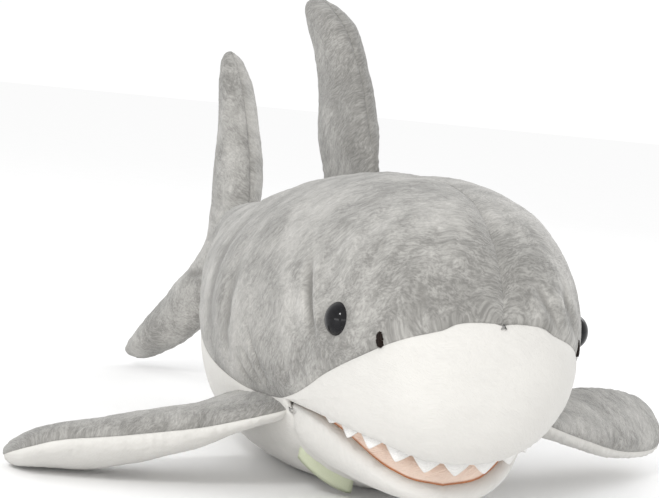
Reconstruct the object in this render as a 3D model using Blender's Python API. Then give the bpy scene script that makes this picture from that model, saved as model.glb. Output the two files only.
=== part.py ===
"""A plush shark with a stuffed body, hinged where its soft parts bend.

Metres, +Z up. The toy lies on its belly with its nose towards -Y, and its own right side at -X.
The origin is the middle of the flat on the belly that it rests on. Lengths below are written in
millimetres. Along the body they are measured from the tip of the nose, and heights from the
surface that the toy lies on.
"""
from math import cos, pi, radians, sin

import bmesh
import bpy
import numpy as np
from mathutils import Vector

MM = 0.001

# ---- driving dimensions, in millimetres ----
FABRIC = 2.0            # plush with its backing
LINING = 1.2            # short-pile fabric in the mouth
GAP = 0.4               # clearance that neighbouring pieces keep
REST_FROM_NOSE = 137.5  # the middle of the flat on the belly
TAIL_FROM_NOSE = 205.0  # where the tail bends
PEDUNCLE_END = 296.0    # where the tail ends and the tail fin begins
MOUTH_CORNER = 76.0     # how far back the mouth goes
ROUNDNESS = 2.2         # power of the body's superelliptical cross-section
RING_POINTS = 28        # points round the body
RINGS_PER_STATION = 2   # rings of points from one station of the body to the next
WIDE = 120.0            # half width of the blocks that cut the panels apart

# distance from the nose, half width, height of the back, height of the underside
BODY = [
    (0, 0, 61, 61),
    (1.5, 14.5, 76, 48),
    (7, 26.5, 89, 35.5),
    (18, 36, 102, 24.5),
    (40, 45.5, 114, 12.5),
    (75, 55, 119, 5),
    (115, 61, 117, -1.5),
    (160, 58, 110, -1.5),
    (205, 45, 99, 16),
    (245, 30, 95, 31),
    (280, 19, 90, 41),
    (305, 12, 84, 49),
]
# distance from the nose, height of the seam between grey back and white underside
COLOUR_SEAM = [(-10, 79), (2, 77.5), (5, 73.6), (10, 70.4), (17.5, 66.2), (26.5, 61.1), (36.5, 55.8),
               (46.5, 50.4), (57.5, 44), (70, 38.6), (84, 35.4), (110, 35), (160, 41), (220, 55),
               (280, 63), (335, 65)]
# distance from the nose, height of the upper lip and of the roof of the mouth behind it
UPPER_LIP = [(-10, 21), (12, 23.8), (16, 26.6), (20.5, 30), (26, 32.1), (34, 33.4), (50, 35),
             (62, 35.6), (76, 36)]
# distance from the nose, half width, height of the lower lip, depth below it
JAW = [
    (26.5, 0, 15.2, 0),
    (28, 12.5, 16.9, 5.6),
    (32.5, 20.5, 19.5, 9),
    (39, 27, 22.8, 13),
    (50, 34, 27.8, 19.1),
    (62, 40.5, 32, 23.7),
    (75, 47, 34.8, 27),
]
JAW_COLUMNS = 14
JAW_RELIEF = radians(15)   # the jaw's stuffing slopes away from the throat by its full swing
JAW_HINGE = (0, 74, 35)
TEETH = 15
TOOTH_LENGTH = 4.6
TOOTH_FELT = 1.2

EYE_AT = (40, 71)          # distance from the nose, height
EYE_RADIUS = 6.1
EYE_HEIGHT = 5.2
EYE_STEM_RADIUS = 1.9
EYE_STEM_LENGTH = 8.0
WASHER_RADIUS = 6.3
WASHER_THICKNESS = 1.6
WASHER_DEPTH = 3.2
NOSTRIL_AT = (19.7, 68)

# Fins are rows of elliptical cross-sections: centre, chord's slope, half chord, half thickness.
# Each is pinched at its root to a thin round edge that lies on its hinge.
PECTORAL_HINGE = (57, 100, 28)
PECTORAL_CHORD = (0.12, 1, -0.12)   # of the left fin
PECTORAL_DROOP = {"right": radians(-12.5), "left": radians(-4)}
PECTORAL_YAW = {"right": radians(-12), "left": radians(10)}   # turn towards the tail
PECTORAL_SAG = {"right": 3.0, "left": 0.0}      # how far the fin hangs below a straight line
PECTORAL_TWIST = {"right": -0.25, "left": 0.65}   # rise of the chord's slope out along the fin
TWIST_END = 60.0                                # distance from the hinge of the full twist
SAG_END = 72.0
# distance from the hinge, sweep backwards, half chord, half thickness
PECTORAL = [
    (-3.4, 0, 24, 0.6),
    (-2.4, 0, 25.3, 2.6),
    (0, 0.2, 26, 3.8),
    (10, 3, 25, 6.2),
    (26, 8, 23, 8.6),
    (52, 17, 21, 9),
    (72, 24.5, 18, 7.2),
    (81.5, 28.5, 13, 4.8),
    (85, 30, 5.5, 1.8),
]
DORSAL_HINGE = (0, 164, 113.2)
# centre x, centre y, centre z, chord's slope, half chord, half thickness
DORSAL = [
    (0, 163.4, 110, -0.2, 24, 0.6),
    (0, 163.6, 110.9, -0.2, 25.6, 2.2),
    (0, 164, 113.2, -0.2, 26.5, 3.8),
    (-0.3, 166, 119, -0.18, 26, 6),
    (-1, 170, 130, -0.1, 24, 8.8),
    (-2, 178, 153, 0, 19.5, 9),
    (-6, 185, 171, 0, 16.5, 9),
    (-9.8, 189.5, 180, 0, 12.5, 7),
    (-11.6, 191.5, 184, 0, 6, 3.2),
]
CAUDAL_HINGE = (0, 303, 63)
# centre, chord direction, direction of its right side, half chord, half thickness
CAUDAL = [
    ((1, 345.5, 160), (0, 1, 0.3), (-1, 0, 0), 3.6, 1.9),
    ((1.5, 343, 156), (0, 1, 0.3), (-1, 0, 0), 9, 5.4),
    ((2.5, 338, 145), (0, 1, 0.3), (-1, 0, 0), 13.5, 8.2),
    ((3.5, 329, 122), (0, 1, 0.25), (-1, 0, 0), 17.3, 9.7),
    ((2.5, 320.5, 96), (0, 1, 0.15), (-1, 0, 0), 21.3, 10.8),
    ((0, 318, 66), (0, 1, 0), (-1, 0, 0), 20.5, 9.6),
    ((-9, 323, 45), (-0.35, 1, -0.2), (-1, -0.35, 0), 24, 9.4),
    ((-17, 331, 29), (-0.5, 1, -0.3), (-1, -0.5, 0), 25, 9.2),
    ((-24, 339, 16), (-0.5, 1, -0.3), (-1, -0.5, 0), 22.5, 8),
    ((-27, 342.5, 9.6), (-0.5, 1, -0.3), (-1, -0.5, 0), 16.5, 5.4),
    ((-28.5, 344, 6), (-0.5, 1, -0.3), (-1, -0.5, 0), 6.5, 2.2),
]
FIN_COLUMNS = 8            # across one side of a fin
LABEL_SPAN = (-41, -19)
LABEL_LENGTH = 9.0
LABEL_THICKNESS = 1.2

# where each body of the toy turns; the torso is the fixed one
HINGES = {
    "torso": (0, REST_FROM_NOSE, 0),
    "lower_jaw": JAW_HINGE,
    "right_pectoral_fin": (-PECTORAL_HINGE[0], PECTORAL_HINGE[1], PECTORAL_HINGE[2]),
    "left_pectoral_fin": PECTORAL_HINGE,
    "dorsal_fin": DORSAL_HINGE,
    "tail": (0, TAIL_FROM_NOSE, 60),
    "caudal_fin": CAUDAL_HINGE,
}
# colour, roughness
FINISHES = {
    "grey_plush": ((0.36, 0.36, 0.345), 0.95),
    "white_plush": ((0.86, 0.85, 0.82), 0.95),
    "mouth_fabric": ((0.78, 0.45, 0.3), 0.9),
    "felt": ((0.88, 0.87, 0.84), 0.95),
    "eye_plastic": ((0.01, 0.01, 0.012), 0.08),
    "washer_plastic": ((0.8, 0.8, 0.78), 0.5),
    "thread": ((0.045, 0.03, 0.025), 0.7),
    "label_tape": ((0.66, 0.7, 0.52), 0.8),
    "fibrefill": ((0.92, 0.92, 0.9), 1.0),
}


# ---- curves and surfaces ----
def spline(rows, positions, first=None):
    """Points at the given row positions of a Catmull-Rom curve through the rows."""
    rows = np.asarray(rows, float)
    before = 2 * rows[0] - rows[1] if first is None else np.asarray(first, float)
    ends = np.vstack([before, rows, 2 * rows[-1] - rows[-2]])
    index = np.clip(np.floor(positions).astype(int), 0, len(rows) - 2)
    f = (positions - index)[:, None]
    a, b, c, d = (ends[index + k] for k in range(4))
    return 0.5 * (2 * b + (c - a) * f + (2 * a - 5 * b + 4 * c - d) * f**2
                  + (3 * b - a - 3 * c + d) * f**3)


def body_stations(rings_per_station):
    """The body's stations, with rings in between; the nose is rounded by a mirrored station."""
    _, width, top, bottom = BODY[1]
    mirrored = (BODY[1][0], -width, 2 * BODY[0][2] - top, 2 * BODY[0][3] - bottom)
    count = (len(BODY) - 1) * rings_per_station + 1
    return spline(BODY, np.linspace(0, len(BODY) - 1, count), mirrored)


FINE_STATIONS = body_stations(40)


def section(y):
    """Half width, middle height and half height of the body at a distance from the nose."""
    width, top, bottom = (np.interp(y, FINE_STATIONS[:, 0], FINE_STATIONS[:, k]) for k in (1, 2, 3))
    return width, (top + bottom) / 2, (top - bottom) / 2


def underside(x, y):
    """Height of the body's lower surface."""
    width, middle, half = section(y)
    share = np.clip(1 - np.abs(x / width) ** ROUNDNESS, 0, 1) ** (1 / ROUNDNESS)
    return middle - half * share


def curve_height(rows, y):
    """Height of a seam at a distance from the nose, on a smooth curve through its rows."""
    fine = spline(rows, np.linspace(0, len(rows) - 1, 20 * len(rows)))
    return np.interp(y, fine[:, 0], fine[:, 1])


def superellipse(count):
    """Points round a unit superellipse, from the top round over +X, as (x, z)."""
    angle = np.linspace(0, 2 * pi, count, endpoint=False)
    return [np.sign(v) * np.abs(v) ** (2 / ROUNDNESS) for v in (np.sin(angle), np.cos(angle))]


def body_grid(inset):
    """Rings of points on the body's surface, or that far inside it, flat where the toy rests."""
    stations = body_stations(RINGS_PER_STATION)
    y, width, top, bottom = stations.T
    x, z = superellipse(RING_POINTS)
    grid = np.zeros((len(y), RING_POINTS, 3))
    grid[:, :, 0] = width[:, None] * x
    grid[:, :, 1] = y[:, None]
    grid[:, :, 2] = ((top + bottom) / 2)[:, None] + ((top - bottom) / 2)[:, None] * z
    around = np.roll(grid, -1, axis=1) - np.roll(grid, 1, axis=1)
    outward = np.cross(around, np.gradient(grid, axis=0))
    outward[0] = (0, -1, 0)
    outward /= np.linalg.norm(outward, axis=2)[:, :, None]
    grid -= inset * outward
    grid[:, :, 2] = np.maximum(grid[:, :, 2], inset)
    return grid


def on_body(y, z, side):
    """A point of the body's surface and the direction straight out of it; side is -1 or 1."""
    def surface_x(y, z):
        width, middle, half = section(y)
        return width * (1 - abs((z - middle) / half) ** ROUNDNESS) ** (1 / ROUNDNESS)
    x = surface_x(y, z)
    slope_y = surface_x(y + 1, z) - x
    slope_z = surface_x(y, z + 1) - x
    normal = Vector((side, -slope_y, -slope_z)).normalized()
    return Vector((side * x, y, z)), normal


# ---- solids, as vertices and faces ----
def loft(grid):
    """A closed solid through rings of points, capped at both ends."""
    rings, columns = grid.shape[:2]
    faces = []
    for i in range(rings - 1):
        for j in range(columns):
            a = i * columns + j
            b = i * columns + (j + 1) % columns
            faces.append((a, b, b + columns, a + columns))
    faces.append(tuple(reversed(range(columns))))
    faces.append(tuple(range((rings - 1) * columns, rings * columns)))
    return grid.reshape(-1, 3), faces


def shell(outer, inner):
    """The closed solid between two sheets of points."""
    rows, columns = outer.shape[:2]
    count = rows * columns
    faces = []
    for i in range(rows - 1):
        for j in range(columns - 1):
            a = i * columns + j
            quad = (a, a + 1, a + columns + 1, a + columns)
            faces.append(quad)
            faces.append(tuple(count + k for k in reversed(quad)))
    border = list(range(columns))
    border += [i * columns + columns - 1 for i in range(1, rows)]
    border += [count - 1 - j for j in range(1, columns)]
    border += [i * columns for i in range(rows - 2, 0, -1)]
    for a, b in zip(border, border[1:] + border[:1]):
        faces.append((b, a, count + a, count + b))
    return np.vstack([outer.reshape(-1, 3), inner.reshape(-1, 3)]), faces


def prism(outline, axis, start, end):
    """An outline in the two other axes, extruded along axis 0 or 2."""
    count = len(outline)
    vertices = []
    for place in (start, end):
        vertices += [(place, *p) if axis == 0 else (*p, place) for p in outline]
    faces = [tuple(range(count)), tuple(reversed(range(count, 2 * count)))]
    faces += [(i, (i + 1) % count, count + (i + 1) % count, count + i) for i in range(count)]
    return vertices, faces


def turned(profile, point, direction, segments):
    """A profile of (radius, height) pairs turned round a direction from a point."""
    turn = direction.to_track_quat("Z", "Y")
    angles = np.linspace(0, 2 * pi, segments, endpoint=False)
    rings = [[point + turn @ Vector((r * cos(a), r * sin(a), h)) for a in angles]
             for r, h in profile]
    return loft(np.array(rings))


# ---- objects ----
def material(name):
    colour, roughness = FINISHES[name]
    found = bpy.data.materials.get(name)
    if found:
        return found
    made = bpy.data.materials.new(name)
    made.use_nodes = True
    shader = made.node_tree.nodes["Principled BSDF"]
    shader.inputs["Base Color"].default_value = (*colour, 1)
    shader.inputs["Roughness"].default_value = roughness
    shader.inputs["Metallic"].default_value = 0.0
    return made


def from_nose(point):
    """Millimetres from the nose as a place in the toy's frame."""
    return Vector((point[0], point[1] - REST_FROM_NOSE, point[2])) * MM


def add(name, solid, body="torso", finish="grey_plush"):
    """A closed mesh object, held by the empty on its body's hinge."""
    vertices, faces = solid
    origin = from_nose(HINGES[body])
    mesh = bpy.data.meshes.new(name)
    mesh.from_pydata([from_nose(v) - origin for v in vertices], [], faces)
    editing = bmesh.new()
    editing.from_mesh(mesh)
    bmesh.ops.remove_doubles(editing, verts=editing.verts, dist=1e-6)
    bmesh.ops.triangulate(editing, faces=editing.faces)
    bmesh.ops.dissolve_degenerate(editing, edges=editing.edges, dist=1e-6)
    bmesh.ops.recalc_face_normals(editing, faces=editing.faces)
    if editing.calc_volume(signed=True) < 0:
        bmesh.ops.reverse_faces(editing, faces=editing.faces)
    editing.to_mesh(mesh)
    editing.free()
    mesh.materials.append(material(finish))
    made = bpy.data.objects.new(name, mesh)
    bpy.context.collection.objects.link(made)
    if body == "torso":
        made.location = origin
    else:
        made.parent = bpy.data.objects[body + "_hinge"]
    return made


def cutter(name, solid):
    made = add(name, solid)
    made.hide_render = True
    made.display_type = "WIRE"
    return made


def cut(target, tool, operation="DIFFERENCE"):
    modifier = target.modifiers.new(tool.name, "BOOLEAN")
    modifier.operation = operation
    modifier.object = tool


def add_hinges():
    """An empty on the axis of each moving body; the tail fin's hangs from the tail's."""
    for body, point in HINGES.items():
        if body == "torso":
            continue
        empty = bpy.data.objects.new(body + "_hinge", None)
        empty.empty_display_size = 0.01
        bpy.context.collection.objects.link(empty)
        empty.location = from_nose(point)
        if body == "caudal_fin":
            empty.parent = bpy.data.objects["tail_hinge"]
            empty.location = from_nose(point) - from_nose(HINGES["tail"])
    bpy.context.view_layer.update()


# ---- body panels ----
def seam_rows(rows, start, end, lift):
    """Points along a seam between two distances from the nose, raised by lift."""
    y = np.linspace(start, end, 2 + int((end - start) / 6))
    return list(zip(y, curve_height(rows, y) + lift))


def above_seam(start, end, left, right):
    outline = seam_rows(COLOUR_SEAM, start, end, GAP / 2) + [(end, 180), (start, 180)]
    return prism(outline, 0, left, right)


def below_seam(start, end):
    outline = seam_rows(COLOUR_SEAM, start, end, -GAP / 2) + [(end, -20), (start, -20)]
    return prism(outline, 0, -WIDE, WIDE)


def panel(name, block, inside, body="torso", finish="grey_plush"):
    """The stretch of the body's skin that lies in a block."""
    made = add(name, loft(body_grid(0)), body, finish)
    cut(made, cutter(name + "_block", block), "INTERSECT")
    cut(made, inside)
    return made


def add_body():
    inside = cutter("skin_inside", loft(body_grid(FABRIC)))
    sides = (("right", -WIDE, -GAP / 2), ("left", GAP / 2, WIDE))
    torso_end = TAIL_FROM_NOSE - GAP / 2
    tail_start = TAIL_FROM_NOSE + GAP / 2
    for side, low, high in sides:
        back = panel(side + "_back_panel", above_seam(-10, torso_end, low, high), inside)
        point, normal = eye_place(side)
        hole = [(EYE_STEM_RADIUS + GAP, -6), (EYE_STEM_RADIUS + GAP, 6)]
        cut(back, cutter(side + "_stem_hole", turned(hole, point, normal, 16)))
        block = above_seam(tail_start, PEDUNCLE_END, low, high)
        panel(side + "_tail_panel", block, inside, "tail")
    panel("belly_panel", below_seam(MOUTH_CORNER + GAP, torso_end), inside, "torso", "white_plush")
    panel("tail_belly_panel", below_seam(tail_start, PEDUNCLE_END), inside, "tail", "white_plush")
    seam = seam_rows(COLOUR_SEAM, -10, MOUTH_CORNER, -GAP / 2)
    lip = seam_rows(UPPER_LIP, -10, MOUTH_CORNER, 0)
    snout = prism(seam + lip[::-1], 0, -WIDE, WIDE)
    panel("snout_panel", snout, inside, "torso", "white_plush")

    inside_teeth = lip_line(TOOTH_FELT + GAP)[::6]
    lining = add("mouth_lining_upper", prism(inside_teeth, 2, 0, 60), "torso", "mouth_fabric")
    roof = seam_rows(UPPER_LIP, -10, MOUTH_CORNER, FABRIC)
    floor = seam_rows(UPPER_LIP, -10, MOUTH_CORNER, 0)
    cut(lining, cutter("lining_block", prism(roof + floor[::-1], 0, -WIDE, WIDE)), "INTERSECT")

    stuffing = add("body_stuffing", loft(body_grid(FABRIC + GAP)), "torso", "fibrefill")
    mouth = seam_rows(UPPER_LIP, -10, MOUTH_CORNER + GAP, FABRIC + GAP)
    mouth += [(MOUTH_CORNER + GAP, -20), (-10, -20)]
    cut(stuffing, cutter("mouth_space", prism(mouth, 0, -WIDE, WIDE)))
    pocket = [(TAIL_POCKET_RADIUS, -160), (TAIL_POCKET_RADIUS, 160)]
    axis = Vector((0, TAIL_FROM_NOSE, 0))
    cut(stuffing, cutter("tail_pocket", turned(pocket, axis, Vector((0, 0, 1)), 48)))
    behind = [(TAIL_FROM_NOSE, -20), (360, -20), (360, 180), (TAIL_FROM_NOSE, 180)]
    cut(stuffing, cutter("behind_torso", prism(behind, 0, -WIDE, WIDE)))
    for side in ("right", "left"):
        point, normal = eye_place(side)
        pocket = [(WASHER_RADIUS + 1, -EYE_STEM_LENGTH - 1), (WASHER_RADIUS + 1, 6)]
        cut(stuffing, cutter(side + "_washer_pocket", turned(pocket, point, normal, 20)))


# ---- tail ----
TAIL_SLACK = 4.0           # the tail's stuffing keeps clear of the torso's skin as it swings
TAIL_KNUCKLE_RADIUS = BODY[8][1] - TAIL_SLACK
TAIL_POCKET_RADIUS = TAIL_KNUCKLE_RADIUS + 3


def add_tail_stuffing():
    """Stuffing with a round front, no taller than the torso's end, that turns inside it."""
    angles = np.radians([78, 62, 46, 30, 15])
    knuckle = [(TAIL_FROM_NOSE - TAIL_KNUCKLE_RADIUS * sin(a), TAIL_KNUCKLE_RADIUS * cos(a))
               for a in angles]
    behind = [(y, section(y)[0] - TAIL_SLACK) for y in (205, 215, 230, 245, 262, 280, 295)]
    x, z = superellipse(20)
    rings = []
    for y, width in knuckle + behind:
        _, middle, half = section(max(y, TAIL_FROM_NOSE))
        rings.append(np.column_stack([width * x, np.full(20, y), middle + (half - TAIL_SLACK) * z]))
    add("tail_stuffing", loft(np.array(rings)), "tail", "fibrefill")


# ---- jaw ----
def jaw_bowl(inset, rim_drop):
    """Rows of points over the jaw's rounded underside, drawn in by inset and lowered by rim_drop."""
    angle = np.linspace(-pi / 2, pi / 2, JAW_COLUMNS + 1)
    share = np.linspace(1, 0, len(JAW)) ** 3
    rows = []
    for (y, width, rim, depth), front in zip(JAW, share):
        across = max(width - inset, 0)
        down = max(depth - inset - rim_drop, 0)
        x = across * np.sin(angle)
        z = rim - rim_drop - down * np.abs(np.cos(angle)) ** 0.8
        rows.append(np.column_stack([x, np.full(len(x), y + inset * front), z]))
    return np.array(rows)


def jaw_lid(inset, drop, rows):
    """Rows of points level with the jaw's rim, lowered by drop."""
    grid = jaw_bowl(inset, drop)[rows]
    grid[:, :, 2] = grid[:, :1, 2]
    return grid


def add_jaw():
    panel_grid = jaw_bowl(0, 0), jaw_bowl(FABRIC, 0)
    add("jaw_panel", shell(*panel_grid), "lower_jaw", "white_plush")
    inset = FABRIC + 4 * GAP
    every = slice(0, len(JAW))
    lining = shell(jaw_lid(inset, 0, every), jaw_lid(inset, LINING, every))
    add("mouth_lining_lower", lining, "lower_jaw", "mouth_fabric")
    deep = slice(2, len(JAW))
    drop = LINING + 2 * GAP
    solid = shell(jaw_bowl(inset, drop)[deep], jaw_lid(inset, drop, deep))
    stuffing = add("jaw_stuffing", solid, "lower_jaw", "fibrefill")
    top = JAW_HINGE[2] + 10
    slope = (top + 20) * np.tan(JAW_RELIEF)
    relief = [(JAW_HINGE[1] - 1, top), (JAW_HINGE[1] - 1 - slope, -20), (100, -20), (100, top)]
    cut(stuffing, cutter("jaw_relief", prism(relief, 0, -WIDE, WIDE)))


def lip_line(inset):
    """The inside of the upper lip in plan, from the right corner round to the left one."""
    right = []
    for y in np.linspace(MOUTH_CORNER - 2, 5, 140):
        width, middle, half = section(y - FABRIC - GAP)
        share = (middle - curve_height(UPPER_LIP, y)) / (half - FABRIC - GAP)
        if share >= 1:
            break
        x = (width - FABRIC - GAP) * (1 - share**ROUNDNESS) ** (1 / ROUNDNESS)
        right.append((-x, y))
    line = np.array(right + [(-x, y) for x, y in reversed(right)])
    tangent = np.gradient(line, axis=0)
    tangent /= np.linalg.norm(tangent, axis=1)[:, None]
    return line + inset * np.column_stack([-tangent[:, 1], tangent[:, 0]])


def add_teeth():
    """One strip of felt, cut to a row of points along its lower edge."""
    outer = lip_line(0)
    inner = lip_line(TOOTH_FELT)
    along = np.concatenate([[0], np.cumsum(np.linalg.norm(np.diff(outer, axis=0), axis=1))])
    places = np.linspace(0, along[-1], 6 * TEETH + 1)
    share = places / along[-1]
    zigzag = 1 - np.abs(2 * ((share * TEETH) % 1) - 1)
    drop = 0.6 + zigzag * TOOTH_LENGTH * (0.35 + 0.65 * np.sin(pi * share))
    sheets = []
    for line in (outer, inner):
        x, y = (np.interp(places, along, line[:, k]) for k in (0, 1))
        lip = curve_height(UPPER_LIP, y)
        heights = (lip + FABRIC - 0.2, lip - drop)
        sheets.append(np.array([np.column_stack([x, y, z]) for z in heights]))
    add("upper_teeth_strip", shell(*sheets), "torso", "felt")


# ---- eyes, nostrils, label ----
def eye_place(side):
    return on_body(*EYE_AT, -1 if side == "right" else 1)


def add_face():
    for side in ("right", "left"):
        point, normal = eye_place(side)
        dome = [(EYE_RADIUS * cos(a), GAP + EYE_HEIGHT * sin(a))
                for a in np.radians([0, 22, 44, 64, 80])]
        stem = [(EYE_STEM_RADIUS, GAP - EYE_STEM_LENGTH), (EYE_STEM_RADIUS, GAP)]
        profile = stem + dome
        add(side + "_eye", turned(profile, point, normal, 20), "torso", "eye_plastic")
        bore = EYE_STEM_RADIUS + GAP
        near, far = -WASHER_DEPTH, -WASHER_DEPTH - WASHER_THICKNESS
        ring = [(bore, far), (WASHER_RADIUS, far), (WASHER_RADIUS, near), (bore, near)]
        add(side + "_eye_washer", ring_solid(ring, point, normal, 20), "torso", "washer_plastic")
        point, normal = on_body(*NOSTRIL_AT, -1 if side == "right" else 1)
        pad = [(0.5, GAP), (1.6, GAP + 0.2), (2.2, GAP + 0.6), (1.6, GAP + 1.0), (0.5, GAP + 1.2)]
        add(side + "_nostril_stitching", turned(pad, point, normal, 12), "torso", "thread")


def ring_solid(profile, point, direction, segments):
    """A closed profile turned round a direction, with a hole through its middle."""
    vertices, faces = turned(profile, point, direction, segments)
    faces = faces[:-2]
    last = (len(profile) - 1) * segments
    for j in range(segments):
        k = (j + 1) % segments
        faces.append((last + j, last + k, k, j))
    return vertices, faces


def add_label():
    """A folded tape sewn into the throat seam, hanging on the right."""
    x = np.linspace(*LABEL_SPAN, 5)
    y = MOUTH_CORNER + 3
    top = underside(x, y) - 2 * GAP
    front, back = [], []
    for drop, shift in ((0, 0), (LABEL_LENGTH, 3)):
        z = np.maximum(top - drop * 0.75, 1.5)
        front.append(np.column_stack([x, np.full(5, y + shift), z]))
        back.append(np.column_stack([x, np.full(5, y + shift + LABEL_THICKNESS), z]))
    add("sewn_in_label", shell(np.array(front), np.array(back)), "torso", "label_tape")


# ---- fins ----
def fin_grid(rows, positions, inset, angles):
    """Rings, or parts of rings, on a fin: rows of centre, chord, thickness, half sizes."""
    table = np.array([[*c, *chord, *thick, a, b] for c, chord, thick, a, b in rows])
    fine = spline(table, positions)
    chord = fine[:, 3:6] / np.linalg.norm(fine[:, 3:6], axis=1)[:, None]
    thick = fine[:, 6:9] - (fine[:, 6:9] * chord).sum(1)[:, None] * chord
    thick /= np.linalg.norm(thick, axis=1)[:, None]
    half_chord = np.maximum(fine[:, 9] - inset, 0.4)[:, None, None]
    half_thick = np.maximum(fine[:, 10] - inset, 0.3)[:, None, None]
    return (fine[:, None, :3] + half_chord * np.cos(angles)[None, :, None] * chord[:, None]
            + half_thick * np.sin(angles)[None, :, None] * thick[:, None])


def add_fin(body, first_name, second_name, stuffing_name, rows, finishes, root, rings):
    """Two panels and their stuffing. The panels' insides stop short of the tip, and of the root."""
    last = len(rows) - 1
    skin = np.linspace(0, last, rings)
    lining = np.linspace(root, last - 0.9, rings)
    thickness = np.array([r[2] for r in rows]).mean(0)
    lift = GAP / 2 * thickness / np.linalg.norm(thickness)
    halves = ((first_name, 0, pi, lift), (second_name, pi, 2 * pi, -lift))
    for (name, start, end, shift), finish in zip(halves, finishes):
        angles = np.linspace(start, end, FIN_COLUMNS + 1)
        outer = fin_grid(rows, skin, 0, angles) + shift
        inner = fin_grid(rows, lining, FABRIC, angles) + shift
        add(name, shell(outer, inner), body, finish)
    angles = np.linspace(0, 2 * pi, 12, endpoint=False)
    core = fin_grid(rows, np.linspace(root + 0.4, last - 1.2, rings - 2), FABRIC + GAP, angles)
    add(stuffing_name, loft(core), body, "fibrefill")


def pectoral_rows(side):
    sign = -1 if side == "right" else 1
    droop = PECTORAL_DROOP[side]
    hinge = Vector((sign * PECTORAL_HINGE[0], *PECTORAL_HINGE[1:]))
    chord = Vector((sign * PECTORAL_CHORD[0], *PECTORAL_CHORD[1:]))
    yaw = PECTORAL_YAW[side]
    out = Vector((sign * cos(droop) * cos(yaw), cos(droop) * sin(yaw), sin(droop)))
    up = Vector((-sign * sin(droop), 0, cos(droop)))
    rows = []
    for distance, sweep, half_chord, half_thick in PECTORAL:
        twist = PECTORAL_TWIST[side] * min(max(distance / TWIST_END, 0), 1)
        turned_chord = chord + Vector((0, 0, twist))
        sag = PECTORAL_SAG[side] * sin(pi * min(max(distance / SAG_END, 0), 1))
        centre = hinge + distance * out + sweep * chord - Vector((0, 0, sag))
        rows.append((centre, turned_chord, up, half_chord, half_thick))
    return rows


def add_fins():
    for side in ("right", "left"):
        name = side + "_pectoral"
        add_fin(name + "_fin", name + "_top_panel", name + "_bottom_panel", name + "_stuffing",
                pectoral_rows(side), ("grey_plush", "white_plush"), 1.7, 11)
    rows = [((x, y, z), (0, 1, slope), (-1, 0, 0), a, b) for x, y, z, slope, a, b in DORSAL]
    add_fin("dorsal_fin", "dorsal_right_panel", "dorsal_left_panel", "dorsal_stuffing",
            rows, ("grey_plush", "grey_plush"), 1.7, 11)
    add_fin("caudal_fin", "caudal_right_panel", "caudal_left_panel", "caudal_stuffing",
            CAUDAL, ("grey_plush", "grey_plush"), 0.9, 15)


def main():
    for old in list(bpy.data.objects):
        bpy.data.objects.remove(old, do_unlink=True)
    add_hinges()
    add_body()
    add_tail_stuffing()
    add_jaw()
    add_teeth()
    add_face()
    add_label()
    add_fins()


main()
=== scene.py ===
"""Looks for the plush shark: stuffed skins, seams, fur, felt, plastic eyes, lights and camera.

Shapes are worked out in millimetres, with y measured from the tip of the nose and z from the
surface that the toy lies on, and are turned into the frame's metres by place().
"""
from math import cos, pi, radians, sin

import bpy
import numpy as np
from mathutils import Matrix, Vector


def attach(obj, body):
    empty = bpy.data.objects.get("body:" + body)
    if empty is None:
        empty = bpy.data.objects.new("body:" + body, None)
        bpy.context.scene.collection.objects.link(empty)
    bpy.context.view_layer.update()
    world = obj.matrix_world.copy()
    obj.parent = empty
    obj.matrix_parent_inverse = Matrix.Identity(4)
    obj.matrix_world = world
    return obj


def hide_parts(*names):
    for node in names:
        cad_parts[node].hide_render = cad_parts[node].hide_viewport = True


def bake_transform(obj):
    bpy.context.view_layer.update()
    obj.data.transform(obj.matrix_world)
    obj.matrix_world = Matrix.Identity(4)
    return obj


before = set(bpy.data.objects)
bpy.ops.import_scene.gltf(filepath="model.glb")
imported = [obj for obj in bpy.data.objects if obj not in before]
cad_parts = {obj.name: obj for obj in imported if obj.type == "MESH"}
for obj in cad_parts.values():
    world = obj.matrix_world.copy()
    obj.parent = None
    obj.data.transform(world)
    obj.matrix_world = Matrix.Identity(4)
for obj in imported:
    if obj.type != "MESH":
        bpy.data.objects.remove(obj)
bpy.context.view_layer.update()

MM = 0.001
FRAME_ORIGIN_FROM_NOSE = 137.5
PEDUNCLE_END = 302.0
ROUND_FROM = 290.0  # the tail's open end is rounded shut from here on
BACK_START = 1.55
MOUTH_CORNER = 76.0
ROUNDNESS = 2.2
SNOUT_LEAN = 5.0
LEAN_END = 95.0
LEAN_LOW_FROM, LEAN_LOW_OVER, LEAN_LOW_EXTRA = 66, 50, 1.3

# distance from the nose, half width, height of the back, height of the underside
BODY = [
    (0, 0, 61, 61),
    (1.5, 14.5, 76, 48),
    (7, 26.5, 89, 35.5),
    (18, 36, 102, 24.5),
    (40, 45.5, 114, 12.5),
    (75, 55, 119, 5),
    (115, 61, 117, -1.5),
    (160, 58, 110, -1.5),
    (205, 45, 99, 16),
    (245, 30, 95, 31),
    (280, 19, 90, 41),
    (305, 12, 84, 49),
]
COLOUR_SEAM = [(-10, 79), (2, 77.5), (5, 73.6), (10, 70.4), (17.5, 66.2), (26.5, 61.1), (36.5, 55.8),
               (46.5, 50.4), (57.5, 44), (70, 38.6), (84, 35.4), (110, 35), (160, 41), (220, 55),
               (280, 63), (335, 65)]
UPPER_LIP = [(-10, 21), (12, 23.8), (16, 26.6), (20.5, 30), (26, 32.1), (34, 33.4), (50, 35),
             (62, 35.6), (76, 36)]
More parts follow.
